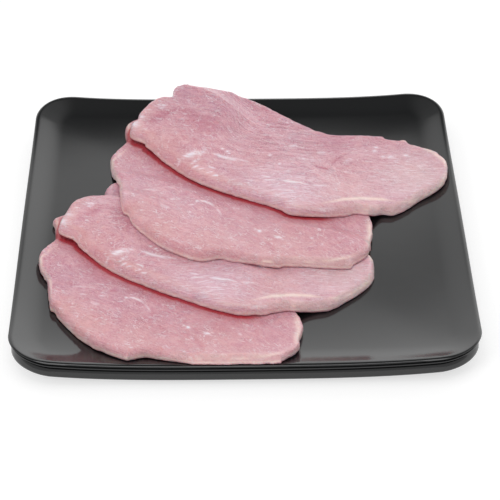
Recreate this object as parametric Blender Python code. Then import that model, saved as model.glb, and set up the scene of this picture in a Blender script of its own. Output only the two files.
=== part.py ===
"""A square black tray with four overlapping slices of raw pale meat.

Metres, +Z up, -Y is the front. The origin is on the table under the middle of the tray.
The tray stands on its foot ring, and each slice lies on whatever is under it, draped as
limp meat is: the slices are laid one by one on a map of the ground's height.
"""

import math

import bmesh
import bpy
import numpy as np
from mathutils.bvhtree import BVHTree

MM = 0.001

# Tray: a square with rounded corners that turn up
TRAY_HALF = 130 * MM
SIDE_BOW = 1.0 * MM
CORNER_RADIUS = 24.6 * MM
CORNER_RADIUS_LOSS = 0.45
INNER_CORNER_RADIUS = 6.0 * MM
CORNER_LIFT = 6.5 * MM
CORNER_LIFT_POWER = 3.5
RIM_HEIGHT = 14.0 * MM
FLOOR_HEIGHT = 7.4 * MM
FLOOR_SWEEP = 4.5 * MM
SWEEP_LENGTH = 24.0 * MM
RIM_CREST_INSET = 2.0 * MM
RIM_SLOPE_WIDTH = 16.0 * MM
CORNER_STEPS = 10
SIDE_STEPS = 10

# Section of the tray from the foot's inner side, round under the edge and up to the crest:
# inset from the outline, height, and the share of the corner lift that the ring takes
FOOT_RINGS = ((43.0, 2.4, 0.0), (41.0, 0.0, 0.0), (37.0, 0.0, 0.0), (35.0, 2.2, 0.0))
UNDER_RINGS = ((20.0, 2.4, 0.6), (8.0, 2.6, 1.0), (2.6, 2.9, 1.0))
BAND_RINGS = ((1.3, 3.5, 1.0), (0.9, 4.6, 1.0), (0.9, 8.0, 1.0), (1.2, 8.6, 1.0))
GROOVE_RINGS = ((2.4, 8.8, 1.0), (2.4, 10.1, 1.0))
BEAD_RINGS = ((0.8, 10.4, 1.0), (0.6, 11.1, 1.0), (1.0, 11.7, 1.0), (2.2, 11.9, 1.0))
LIP_RINGS = ((2.2, 12.6, 1.0), (0.2, 13.0, 1.0), (0.0, 13.4, 1.0), (0.4, 13.8, 1.0))
INNER_INSETS = (1.2, 2.0, 4.5, 8.0, 12.0, 16.0, 20.0, 26.0, 34.0, 46.0, 64.0, 90.0)
RECESS_INSET = 90.0

# Slices
SLICE_THICKNESS = 6.0 * MM
SLICE_GAP = 0.3 * MM
SLICE_STEPS = 64
EDGE_ROUNDING = 3.0 * MM
EDGE_SQUARENESS = 2.5
EDGE_INSETS = (0.35, 1.2, 3.0)
INNER_SHARES = (0.86, 0.70, 0.52, 0.34, 0.16)
SPLINE_STEPS = 8

SHARP_ANGLE = math.radians(50)

# Map of the ground's height, and how far a slice bridges a step in it
MAP_HALF = 140 * MM
MAP_CELL = 1 * MM
SETTLE_PASSES = 120
CLEARING_PASSES = 8

# Each outline is a smooth closed curve through these points, in millimetres, seen from above.
# A swell makes the flesh thicker and a stand-off holds it clear of what is under it: the
# place and the radius of a smooth bump and its height.
SLICES = {
    "slice_front_lower": {
        "outline": (
            (-112, 7), (-98, 22.5), (-75, 23.5), (-34, -6.5), (-5, -36), (30, -85),
            (30, -110), (29, -117.5), (20, -128), (15, -130), (-23, -130), (-32, -129),
            (-54, -122), (-62, -124.5), (-67, -124), (-89, -107), (-102, -89.5),
            (-107, -80.5), (-110, -76.5), (-113, -54.5), (-115, -50.5), (-118, -43),
            (-119, -33), (-116, -25.5), (-111, -16.5), (-112, -2.5),
        ),
        "swells": ((-60, -70, 40, 0.8), (-5, -95, 25, -0.8), (-32, -16, 17, -3.0),
                   (-8, -40, 17, -3.0), (16, -72, 17, -3.0)),
        "stand_offs": (),
    },
    "slice_front_upper": {
        "outline": (
            (-108, -16), (-105, 3), (-97, 19.5), (-84, 21.5), (-84, 33), (-81, 41), (-73, 44),
            (-50, 37), (-30, 23), (-13, 8), (7, -7), (22, -7), (37, -9.5), (48, -15.5),
            (53, -14.5), (62, -23), (68, -26.5), (76, -37.5), (72, -57.5), (50, -77.5),
            (37, -81), (29, -84), (22, -83.5), (8, -87), (-13, -85), (-66, -57.5), (-93, -32),
            (-98, -24),
        ),
        "swells": ((-20, -40, 45, 0.8), (-62, 38, 15, -2.6), (-32, 20, 16, -3.0),
                   (-3, -1, 16, -3.0), (28, -12, 15, -2.6)),
        "stand_offs": ((-98, -14, 13, 2.5),),
    },
    "slice_back_lower": {
        "outline": (
            (-73, 108.5), (-57, 123.5), (-33, 127), (0, 105.5), (62, 21), (73, 10), (77, 0.5),
            (77, -11.5), (75, -23.5), (73, -36), (64, -45.5), (58, -49), (26, -46.5),
            (18, -48.5), (-4, -46), (-15, -43.5), (-24, -46.5), (-35, -43), (-50, -32),
            (-64, -14.5), (-68, -5), (-72, 1), (-75, 34.5), (-77, 40.5), (-82, 62), (-80, 72),
            (-73, 84),
        ),
        "swells": ((-35, 110, 30, 1.5), (-30, 0, 35, 0.6), (40, -15, 25, -0.8),
                   (6, 94, 17, -3.0), (28, 64, 17, -3.0), (50, 34, 17, -3.0)),
        "stand_offs": ((-35, 125, 30, 1.0),),
    },
    "slice_back_upper": {
        "outline": (
            (-69, 85), (-65, 102.5), (-56, 115), (-45, 114), (-41, 115.5), (-38, 122),
            (-35.5, 127), (-29, 129.5), (-18, 130.5), (-5, 129), (0, 126), (16, 119),
            (54, 90), (61, 89), (87, 87), (92, 83.5), (99, 80.5), (104, 81), (106, 77),
            (119, 66), (127, 44), (122, 31), (93, 9.5), (84, 9), (76, 3), (68, 4),
            (53, 1.5), (30, 3.5), (18, 12), (-26, 35), (-57, 68.5), (-59, 73.5),
        ),
        "swells": ((-35, 120, 28, 1.5), (30, 50, 60, 0.8)),
        "stand_offs": ((-35, 128, 26, 1.5), (-62, 74, 13, 2.5)),
    },
}


def clear_scene():
    """Removes whatever the file holds."""
    for thing in list(bpy.data.objects):
        bpy.data.objects.remove(thing)


def make_material(name, colour, roughness):
    """A plain Principled material."""
    material = bpy.data.materials.new(name)
    material.use_nodes = True
    shader = material.node_tree.nodes["Principled BSDF"]
    shader.inputs["Base Color"].default_value = (*colour, 1.0)
    shader.inputs["Roughness"].default_value = roughness
    shader.inputs["Metallic"].default_value = 0.0
    material.diffuse_color = (*colour, 1.0)
    return material


def ring_faces(ring_count, count):
    """Triangles that join rings numbered one after another, the last of them to a middle point."""
    faces = []
    middle = ring_count * count
    for ring in range(ring_count - 1):
        for i in range(count):
            low, low_next = ring * count + i, ring * count + (i + 1) % count
            high, high_next = low + count, low_next + count
            faces += [(low, low_next, high_next), (low, high_next, high)]
    last = middle - count
    faces += [(last + i, last + (i + 1) % count, middle) for i in range(count)]
    return faces


def make_solid(name, points, faces, material):
    """A closed body of triangles, smooth but for its sharp edges."""
    data = bpy.data.meshes.new(name)
    data.from_pydata([tuple(point) for point in points], [], faces)
    mesh = bmesh.new()
    mesh.from_mesh(data)
    bmesh.ops.recalc_face_normals(mesh, faces=mesh.faces)
    mesh.to_mesh(data)
    mesh.free()
    data.materials.append(material)
    data.shade_smooth()
    data.set_sharp_from_angle(angle=SHARP_ANGLE)
    thing = bpy.data.objects.new(name, data)
    bpy.context.scene.collection.objects.link(thing)
    return thing


def corner_lift(x, y):
    """How far the tray is turned up at a place: nothing at the sides' middles."""
    across = np.minimum(np.abs(x) / TRAY_HALF, 1.05)
    along = np.minimum(np.abs(y) / TRAY_HALF, 1.05)
    return CORNER_LIFT * (across * along) ** CORNER_LIFT_POWER


def tray_inset(x, y):
    """Distance inside the tray's outline, negative outside it."""
    bow = SIDE_BOW / TRAY_HALF
    straight_x = x / (1 + bow * (1 - (y / TRAY_HALF) ** 2))
    straight_y = y / (1 + bow * (1 - (x / TRAY_HALF) ** 2))
    over_x = np.abs(straight_x) - (TRAY_HALF - CORNER_RADIUS)
    over_y = np.abs(straight_y) - (TRAY_HALF - CORNER_RADIUS)
    corner = np.hypot(np.maximum(over_x, 0), np.maximum(over_y, 0))
    return CORNER_RADIUS - corner - np.minimum(np.maximum(over_x, over_y), 0)


def tray_top(x, y):
    """Height of the tray's upper surface: a floor that sweeps up, then curls to the crest."""
    inside = np.maximum(tray_inset(x, y) - RIM_CREST_INSET, 0)
    sweep = FLOOR_SWEEP * np.exp(-inside / SWEEP_LENGTH)
    climb = np.maximum(1 - inside / RIM_SLOPE_WIDTH, 0)
    curl = (RIM_HEIGHT - FLOOR_HEIGHT - FLOOR_SWEEP) * climb * climb * (2 - climb)
    return FLOOR_HEIGHT + sweep + curl + corner_lift(x, y)


def tray_outline(inset):
    """Points round the tray at a distance inside its outline."""
    half = TRAY_HALF - inset
    radius = max(CORNER_RADIUS - CORNER_RADIUS_LOSS * inset, INNER_CORNER_RADIUS)
    reach = half - radius
    bow = SIDE_BOW / TRAY_HALF
    points = []
    for turn, (sign_x, sign_y) in enumerate(((1, 1), (-1, 1), (-1, -1), (1, -1))):
        start = turn * math.pi / 2
        for step in range(CORNER_STEPS):
            angle = start + math.pi / 2 * step / CORNER_STEPS
            points.append((sign_x * reach + radius * math.cos(angle),
                           sign_y * reach + radius * math.sin(angle)))
        corner_x = sign_x * reach + radius * math.cos(start + math.pi / 2)
        corner_y = sign_y * reach + radius * math.sin(start + math.pi / 2)
        along = (-2 * reach * math.sin(start + math.pi / 2),
                 2 * reach * math.cos(start + math.pi / 2))
        for step in range(SIDE_STEPS):
            share = step / SIDE_STEPS
            points.append((corner_x + along[0] * share, corner_y + along[1] * share))
    x, y = np.array(points).T
    bowed_x = x * (1 + bow * (1 - (y / half) ** 2))
    bowed_y = y * (1 + bow * (1 - (x / half) ** 2))
    return bowed_x, bowed_y


def make_tray(material):
    """The tray as one body, ring by ring from under its middle to its floor's middle."""
    rings = []
    recess = FOOT_RINGS[0][1]
    section = FOOT_RINGS + UNDER_RINGS + BAND_RINGS + GROOVE_RINGS + BEAD_RINGS + LIP_RINGS
    for inset, height, lift_share in ((RECESS_INSET, recess, 0.0),) + section:
        x, y = tray_outline(inset * MM)
        z = height * MM + lift_share * corner_lift(x, y)
        rings.append(np.column_stack((x, y, z)))
    for inset in INNER_INSETS:
        x, y = tray_outline(inset * MM)
        rings.append(np.column_stack((x, y, tray_top(x, y))))
    count = len(rings[0])
    under_middle = len(rings) * count + 1
    faces = ring_faces(len(rings), count)
    faces += [((i + 1) % count, i, under_middle) for i in range(count)]
    points = np.vstack(rings + [(0, 0, FLOOR_HEIGHT), (0, 0, recess * MM)])
    return make_solid("tray", points, faces, material)


def smooth_outline(points):
    """A closed Catmull-Rom curve through the points, as points at equal spacing."""
    points = np.array(points, float) * MM
    count = len(points)
    curve = []
    for i in range(count):
        before, here, after, beyond = (points[(i + k) % count] for k in (-1, 0, 1, 2))
        for step in range(SPLINE_STEPS):
            t = step / SPLINE_STEPS
            curve.append(0.5 * (2 * here + (after - before) * t
                                + (2 * before - 5 * here + 4 * after - beyond) * t**2
                                + (3 * here - before - 3 * after + beyond) * t**3))
    curve = np.array(curve + curve[:1])
    travelled = np.concatenate(([0], np.cumsum(np.hypot(*np.diff(curve, axis=0).T))))
    stops = np.arange(SLICE_STEPS) / SLICE_STEPS * travelled[-1]
    return np.column_stack([np.interp(stops, travelled, curve[:, k]) for k in (0, 1)])


def inward_normals(outline):
    """Unit vectors that point into a closed outline, whichever way it runs."""
    along = np.roll(outline, -1, axis=0) - np.roll(outline, 1, axis=0)
    across = np.column_stack((-along[:, 1], along[:, 0]))
    across /= np.linalg.norm(across, axis=1)[:, None]
    following = np.roll(outline, -1, axis=0)
    twice_area = np.sum(outline[:, 0] * following[:, 1] - following[:, 0] * outline[:, 1])
    return across * np.sign(twice_area)


def bumps(places, x, y):
    """The sum of smooth round bumps, each with its place, radius and height in millimetres."""
    total = np.zeros_like(x)
    for centre_x, centre_y, radius, height in places:
        away = (x / MM - centre_x) ** 2 + (y / MM - centre_y) ** 2
        total += height * MM * np.exp(-away / (2 * radius**2))
    return total


def ground_map():
    """Places and heights of the map on which the slices are laid: at first the tray alone."""
    ticks = np.arange(-MAP_HALF, MAP_HALF + MAP_CELL / 2, MAP_CELL)
    x, y = np.meshgrid(ticks, ticks)
    height = np.where(tray_inset(x, y) > 0, tray_top(x, y), RIM_HEIGHT)
    return x, y, height


def read_map(field, x, y):
    """The map's value at places between its ticks."""
    column = (x + MAP_HALF) / MAP_CELL
    row = (y + MAP_HALF) / MAP_CELL
    left = np.clip(column.astype(int), 0, field.shape[1] - 2)
    low = np.clip(row.astype(int), 0, field.shape[0] - 2)
    right_share = column - left
    high_share = row - low
    lower = field[low, left] * (1 - right_share) + field[low, left + 1] * right_share
    upper = field[low + 1, left] * (1 - right_share) + field[low + 1, left + 1] * right_share
    return lower * (1 - high_share) + upper * high_share


def blurred(field):
    """The map with each value shared out over its neighbours."""
    wide = np.pad(field, 1, mode="edge")
    rows = wide[:-2] + 2 * wide[1:-1] + wide[2:]
    return (rows[:, :-2] + 2 * rows[:, 1:-1] + rows[:, 2:]) / 16


def widened(field):
    """The map with each value at least as high as its neighbours."""
    wide = np.pad(field, 1, mode="edge")
    rows = np.maximum(np.maximum(wide[:-2], wide[1:-1]), wide[2:])
    return np.maximum(np.maximum(rows[:, :-2], rows[:, 1:-1]), rows[:, 2:])


def settled(ground):
    """The underside of a limp slice on the ground: it bridges each step with a slope."""
    resting = ground + SLICE_GAP
    height = resting
    for _ in range(SETTLE_PASSES):
        height = np.maximum(blurred(height), resting)
    return height


def heights_met(points, faces, x, y, from_above):
    """Where upright lines through places meet a surface, and the face that each one meets.

    A place whose line misses the surface gets the face number -1.
    """
    tree = BVHTree.FromPolygons([tuple(point) for point in points], faces)
    start, direction = (1.0, (0, 0, -1)) if from_above else (-1.0, (0, 0, 1))
    heights = np.zeros(x.shape)
    met = np.full(x.shape, -1)
    (low_x, low_y), (high_x, high_y) = points[:, :2].min(axis=0), points[:, :2].max(axis=0)
    near = (x > low_x) & (x < high_x) & (y > low_y) & (y < high_y)
    for place in zip(*np.nonzero(near)):
        hit, _, face, _ = tree.ray_cast((x[place], y[place], start), direction)
        if face is not None:
            heights[place] = hit.z
            met[place] = face
    return heights, met


def lay_slice(name, cut, places, ground, material):
    """Makes one slice on the ground and returns the ground with the slice on it."""
    map_x, map_y = places
    outline = smooth_outline(cut["outline"])
    inward = inward_normals(outline)
    centre = outline.mean(axis=0)
    flats = [outline]
    roundness = [0.0]
    for inset in EDGE_INSETS:
        share = 1 - inset * MM / EDGE_ROUNDING
        flats.append(outline + inward * inset * MM)
        roundness.append((1 - share**EDGE_SQUARENESS) ** (1 / EDGE_SQUARENESS))
    shoulder = flats[-1]
    flats += [centre + (shoulder - centre) * share for share in INNER_SHARES]
    roundness += [1.0] * len(INNER_SHARES)
    x, y = np.vstack(flats + [centre[None, :]]).T
    fullness = np.append(np.repeat(roundness, SLICE_STEPS), 1.0)
    half = (SLICE_THICKNESS + bumps(cut["swells"], x, y)) / 2
    base = read_map(settled(ground), x, y) + bumps(cut["stand_offs"], x, y)
    faces = ring_faces(len(flats), SLICE_STEPS)
    needed = widened(ground) + SLICE_GAP
    for _ in range(CLEARING_PASSES):
        underside = np.column_stack((x, y, base + half * (1 - fullness)))
        height, met = heights_met(underside, faces, map_x, map_y, from_above=False)
        short = np.where(met >= 0, needed - height, 0)
        raised = np.zeros(len(x))
        for place in zip(*np.nonzero(short > 0)):
            for corner in faces[met[place]]:
                raised[corner] = max(raised[corner], short[place])
        if not raised.any():
            break
        base += raised
    top = np.column_stack((x, y, base + half * (1 + fullness)))
    bottom = np.column_stack((x, y, base + half * (1 - fullness)))
    below = [[corner if corner < SLICE_STEPS else corner - SLICE_STEPS + len(x) for corner in face]
             for face in faces]
    make_solid(name, np.vstack((top, bottom[SLICE_STEPS:])), faces + below, material)
    height, met = heights_met(top, faces, map_x, map_y, from_above=True)
    return np.where(met >= 0, np.maximum(ground, height), ground)


def main():
    """Builds the tray, then lays the slices on it from the lowest to the highest."""
    clear_scene()
    glaze = make_material("black_melamine", (0.012, 0.012, 0.013), 0.22)
    flesh = make_material("raw_pale_meat", (0.70, 0.36, 0.38), 0.40)
    make_tray(glaze)
    map_x, map_y, ground = ground_map()
    for name, cut in SLICES.items():
        ground = lay_slice(name, cut, (map_x, map_y), ground, flesh)


main()
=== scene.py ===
"""Looks of a black melamine tray that holds four overlapping slices of raw pale meat.

Metres, +Z up, -Y towards the viewer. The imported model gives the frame. The tray and the
slices are modelled again here with their fine surface, each in the place of its CAD node.
"""

import logging
import math
from dataclasses import dataclass, field
from enum import Enum

import bpy
import numpy as np
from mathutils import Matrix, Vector


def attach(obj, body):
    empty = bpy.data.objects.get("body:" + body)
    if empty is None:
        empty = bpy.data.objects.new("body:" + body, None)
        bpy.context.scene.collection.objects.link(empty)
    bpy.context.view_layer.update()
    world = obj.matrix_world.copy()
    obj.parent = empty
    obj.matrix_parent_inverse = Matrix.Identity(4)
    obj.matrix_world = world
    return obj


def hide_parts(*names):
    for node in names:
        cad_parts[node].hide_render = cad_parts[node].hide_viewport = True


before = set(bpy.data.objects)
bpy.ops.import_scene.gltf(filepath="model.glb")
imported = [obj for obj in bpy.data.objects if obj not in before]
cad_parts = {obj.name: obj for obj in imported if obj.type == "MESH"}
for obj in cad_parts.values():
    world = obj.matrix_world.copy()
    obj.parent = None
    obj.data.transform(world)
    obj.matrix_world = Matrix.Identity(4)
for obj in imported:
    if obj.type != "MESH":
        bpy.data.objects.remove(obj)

MM = 0.001
BODY = "root"
LOG = logging.getLogger("meat_tray")

Point = tuple[float, float]
Array = np.ndarray
Socket = bpy.types.NodeSocket


def linear(hex_colour: str) -> tuple[float, float, float, float]:
    """Turn an sRGB hex colour into the linear colour that a shader takes.

    Args:
        hex_colour: Six hex digits after a hash sign.

    Returns:
        Linear red, green and blue by the sRGB standard's curve, and an alpha of one.
    """
    channels = [int(hex_colour[i:i + 2], 16) / 255 for i in (1, 3, 5)]
    red, green, blue = (c / 12.92 if c <= 0.04045 else ((c + 0.055) / 1.055) ** 2.4 for c in channels)
    return (red, green, blue, 1.0)


def add_node(tree: bpy.types.NodeTree, kind: str, inputs: dict | None = None,
             **settings: object) -> bpy.types.Node:
    """Add a node with its settings, values and links.

    Args:
        tree: The node tree that takes the node.
        kind: The node's type, such as ShaderNodeMath.
        inputs: A value or an output socket for each input, by its name or number.
        **settings: The node's own properties.

    Returns:
        The new node.
    """
    node = tree.nodes.new(kind)
    for name, value in settings.items():
        setattr(node, name, value)
    for key, value in (inputs or {}).items():
        if isinstance(value, bpy.types.NodeSocket):
            tree.links.new(value, node.inputs[key])
        else:
            node.inputs[key].default_value = value
    return node


def smooth_step(low: float, high: float, value: Array) -> Array:
    """Rise smoothly from nought at low to one at high."""
    share = np.clip((value - low) / (high - low), 0, 1)
    return share * share * (3 - 2 * share)


@dataclass(frozen=True)
class Ripple:
    """Seeded smooth noise over a plane, between minus one and one.

    Attributes:
        seed: What the noise is drawn from.
        cells: The number of cells after which the noise repeats.
    """

    seed: int
    cells: int = 97

    def at(self, x: Array, y: Array) -> Array:
        """Read the noise at places.

        Args:
            x: How many cells across.
            y: How many cells along.

        Returns:
            The noise, between minus one and one.
        """
        knots = np.random.default_rng(self.seed).uniform(-1, 1, (self.cells, self.cells))
        column, row = np.floor(x).astype(int), np.floor(y).astype(int)
        across, along = x - column, y - row
        across = across**3 * (across * (across * 6 - 15) + 10)
        along = along**3 * (along * (along * 6 - 15) + 10)
        left, low = column % self.cells, row % self.cells
        right, high = (left + 1) % self.cells, (low + 1) % self.cells
        under = knots[low, left] * (1 - across) + knots[low, right] * across
        over = knots[high, left] * (1 - across) + knots[high, right] * across
        return under * (1 - along) + over * along


@dataclass(frozen=True)
class Wave:
    """One layer of an uneven surface, made of smooth noise.

    Attributes:
        seed: What the noise is drawn from.
        length: How long a wave is, in millimetres.
        width: How wide it is.
        height: How high it is.
    """

    seed: int
    length: float
    width: float
    height: float

    def at(self, x: Array, y: Array) -> Array:
        """Return the layer's height at places in millimetres."""
        return self.height * Ripple(self.seed).at(x / self.length, y / self.width)


def heaped(waves: tuple[Wave, ...], x: Array, y: Array) -> Array:
    """Return the height of several layers together at places in millimetres."""
    return sum(wave.at(x, y) for wave in waves)


# The cut outline, the swelling of the face, the bundles of fibres on it, how those wander,
# and how uneven the cream line is. Each goes from broad to fine.
RAGGED = (Wave(11, 5.0, 1.0, 0.35), Wave(12, 1.8, 1.0, 0.22))
LUMPS = (Wave(21, 26, 26, 0.30), Wave(22, 11, 11, 0.20), Wave(23, 4.2, 4.2, 0.10),
         Wave(24, 1.9, 1.9, 0.05))
STRANDS = (Wave(25, 22, 2.6, 0.26), Wave(26, 11, 1.3, 0.12))
BENDS = (Wave(31, 38, 38, 4.0), Wave(32, 14, 14, 1.6))
PATCHY = (Wave(41, 5, 5, 0.2),)


@dataclass(frozen=True)
class Bump:
    """A smooth round bump on a plane: its middle, its reach and its height, in millimetres."""

    x: float
    y: float
    reach: float
    height: float = 1.0

    def at(self, x: Array, y: Array) -> Array:
        """Return the bump's height at places in millimetres."""
        away = (x - self.x) ** 2 + (y - self.y) ** 2
        return self.height * np.exp(-away / (2 * self.reach**2))


@dataclass(frozen=True)
class Stroke:
    """A soft line that fades at its ends.

    Attributes:
        points: What it runs through, in millimetres.
        width: How wide it is in its middle.
        strength: How strong it is there.
        end: Its width and strength at its ends, as a share of those in its middle.
    """

    points: tuple[Point, ...]
    width: float
    strength: float = 1.0
    end: float = 0.35

    def at(self, x: Array, y: Array) -> Array:
        """Draw the line at places.

        Args:
            x: How far across, in millimetres.
            y: How far along, in millimetres.

        Returns:
            The line's strength.
        """
        best = np.zeros_like(x)
        count = len(self.points) - 1
        for i, ((ax, ay), (bx, by)) in enumerate(zip(self.points, self.points[1:])):
            run_x, run_y = bx - ax, by - ay
            share = ((x - ax) * run_x + (y - ay) * run_y) / (run_x**2 + run_y**2)
            share = np.clip(share, 0, 1)
            away = np.hypot(x - ax - share * run_x, y - ay - share * run_y)
            passed = (i + share) / count
            taper = self.end + (1 - self.end) * np.minimum(1, 4 * np.minimum(passed, 1 - passed))
            best = np.maximum(best, np.exp(-((away / (self.width * taper / 2)) ** 2)) * taper)
        return self.strength * best


class Edge(Enum):
    """How a slice ends: where its outline lies in its thickness, and how it curves in.

    Each holds the outline's height as a share of the thickness, the reach of the curve
    above it in millimetres, that curve's squareness, and the reach of the curve below it.
    """

    ROUND = (0.08, 3.6, 2.2, 0.5)
    ROLLED = (0.04, 4.6, 2.3, 0.3)
    SLANTED = (0.12, 3.6, 1.5, 0.8)
    UPRIGHT = (0.45, 1.8, 4.0, 2.0)


@dataclass(frozen=True)
class Tray:
    """The square tray: its rounded corners turn up and its floor curls up to the rim.

    Attributes:
        half: Half of a side between the middles of two sides, without their bow.
        bow: How far a side's middle stands out.
        radius: The corners' radius at the outline.
        radius_loss: How much of an inset comes off the corner's radius.
        inner_radius: The least corner radius, on the floor.
        corner_lift: How far the outline's far corner would be turned up.
        lift_power: How suddenly the corners turn up.
        rim: Height of the rim's crest at the sides' middles.
        floor: Height of the floor inside.
        sweep: How far the floor sweeps up towards the rim.
        sweep_length: The distance over which the sweep falls to about a third.
        crest: Inset of the crest.
        slope: Width of the curl between floor and crest.
        underside: Height of the underside's middle.
        curl_rings: Number of rings on the curl.
        floor_rings: Insets of the rings on the floor, in millimetres.
        sharp_angle: Edges that turn more than this stay crisp.
        around: Number of points round the tray.
    """

    half: float = 130 * MM
    bow: float = 1.0 * MM
    radius: float = 24.6 * MM
    radius_loss: float = 0.45
    inner_radius: float = 6.0 * MM
    corner_lift: float = 6.5 * MM
    lift_power: float = 3.5
    rim: float = 14.0 * MM
    floor: float = 7.4 * MM
    sweep: float = 4.5 * MM
    sweep_length: float = 24.0 * MM
    crest: float = 2.0 * MM
    slope: float = 16.0 * MM
    underside: float = 2.4 * MM
    curl_rings: int = 20
    floor_rings: tuple[float, ...] = (20, 23, 27, 32, 38, 45, 54, 64, 76, 90, 108)
    sharp_angle: float = math.radians(38)
    around: int = 480

    def lift(self, x: Array, y: Array) -> Array:
        """Work out how far the tray is turned up towards its corners.

        Args:
            x: The places' x in metres.
            y: Their y.

        Returns:
            The lift at each place.
        """
        beyond = 1.05  # a little past the outline the lift stops growing
        across = np.minimum(np.abs(x) / self.half, beyond)
        along = np.minimum(np.abs(y) / self.half, beyond)
        return self.corner_lift * (across * along) ** self.lift_power

    def inset(self, x: Array, y: Array) -> Array:
        """Work out how far places lie inside the outline.

        Args:
            x: The places' x in metres.
            y: Their y.

        Returns:
            The distance inside the outline, negative outside it.
        """
        bow = self.bow / self.half
        straight_x = x / (1 + bow * (1 - (y / self.half) ** 2))
        straight_y = y / (1 + bow * (1 - (x / self.half) ** 2))
        over_x = np.abs(straight_x) - (self.half - self.radius)
        over_y = np.abs(straight_y) - (self.half - self.radius)
        corner = np.hypot(np.maximum(over_x, 0), np.maximum(over_y, 0))
        return self.radius - corner - np.minimum(np.maximum(over_x, over_y), 0)

    def top(self, x: Array, y: Array) -> Array:
        """Work out the upper surface: floor, sweep, curl and turned-up corners.

        The sweeps of the two nearest sides run into each other softly at the corners.

        Args:
            x: The places' x in metres.
            y: Their y.

        Returns:
            The surface's height at each place.
        """
        inside = np.maximum(self.inset(x, y) - self.crest, 0)
        reach = self.half - self.crest
        along_x = np.exp(-3 * np.maximum(reach - np.abs(x), 0) / self.sweep_length)
        along_y = np.exp(-3 * np.maximum(reach - np.abs(y), 0) / self.sweep_length)
        sweep = self.sweep * np.cbrt(along_x + along_y)
        climb = np.maximum(1 - inside / self.slope, 0)
        curl = (self.rim - self.floor - self.sweep) * climb * climb * (2 - climb)
        return self.floor + sweep + curl + self.lift(x, y)

    def ring(self, inset: float) -> tuple[Array, Array]:
        """Return the places of a ring of points at a distance inside the outline.

        Args:
            inset: The distance in metres.

        Returns:
            The ring's x and y.
        """
        half = self.half - inset
        radius = max(self.radius - self.radius_loss * inset, self.inner_radius)
        reach = half - radius
        steps = self.around // 8
        share = np.arange(steps) / steps
        turn = share * math.pi / 2
        arc = np.column_stack((reach + radius * np.cos(turn), reach + radius * np.sin(turn)))
        side = np.column_stack((reach * (1 - 2 * share), np.full(steps, half)))
        quarter = np.vstack((arc, side))
        quarters = [quarter]
        for _ in range(3):
            quarter = np.column_stack((-quarter[:, 1], quarter[:, 0]))
            quarters.append(quarter)
        x, y = np.vstack(quarters).T
        bow = self.bow / self.half
        return x * (1 + bow * (1 - (y / half) ** 2)), y * (1 + bow * (1 - (x / half) ** 2))

    def section(self) -> list[tuple[float, float, float]]:
        """List the rings from under the tray's middle, round its edge and up to the crest.

        Returns:
            For each ring its inset and its height in millimetres, and its share of the
            corner lift.
        """
        foot = [(90, 2.4, 0), (60, 2.4, 0), (43, 2.4, 0), (42.2, 2.1, 0), (41.4, 0.5, 0), (40.7, 0, 0),
                (37.3, 0, 0), (36.6, 0.4, 0), (35.8, 1.8, 0), (35.0, 2.2, 0)]
        under = [(28, 2.3, 0.3), (20, 2.4, 0.6), (14, 2.5, 0.85), (8, 2.6, 1), (4, 2.75, 1),
                 (2.4, 2.9, 1)]
        band = [(1.6, 3.2, 1), (1.1, 3.6, 1), (0.95, 4.2, 1), (1.1, 5.2, 1), (1.5, 6.5, 1),
                (1.95, 7.8, 1), (2.2, 8.3, 1)]
        low_groove = [(2.9, 8.5, 1), (3.4, 8.9, 1), (3.4, 9.8, 1), (2.7, 10.1, 1)]
        bead = [(1.5, 10.2, 1), (0.9, 10.4, 1), (0.6, 10.8, 1), (0.65, 11.3, 1), (1.0, 11.6, 1),
                (1.6, 11.8, 1)]
        high_groove = [(2.3, 11.9, 1), (2.5, 12.2, 1), (2.3, 12.6, 1)]
        lip = [(0.6, 12.8, 1), (0.2, 12.95, 1), (0.0, 13.25, 1), (0.1, 13.55, 1), (0.45, 13.8, 1),
               (1.0, 13.95, 1)]
        return foot + under + band + low_groove + bead + high_groove + lip

    def build(self) -> bpy.types.Object:
        """Model the tray as one closed body.

        Returns:
            The tray's object.
        """
        rings = []
        for inset, height, share in self.section():
            x, y = self.ring(inset * MM)
            rings.append(np.column_stack((x, y, height * MM + share * self.lift(x, y))))
        curl = self.crest + self.slope * np.linspace(0, 1, self.curl_rings)
        for inset in np.concatenate((curl, np.array(self.floor_rings) * MM)):
            x, y = self.ring(inset)
            rings.append(np.column_stack((x, y, self.top(x, y))))
        under = np.array((0, 0, self.underside))
        over = np.array((0, 0, self.floor))
        return wrapped_sleeve("tray_body", rings, under, over, self.sharp_angle)

    def dress(self, piece: bpy.types.Object) -> None:
        """Give the tray its gloss and its place in the frame."""
        set_in_frame(piece, "tray", BlackMelamine().material())


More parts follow.
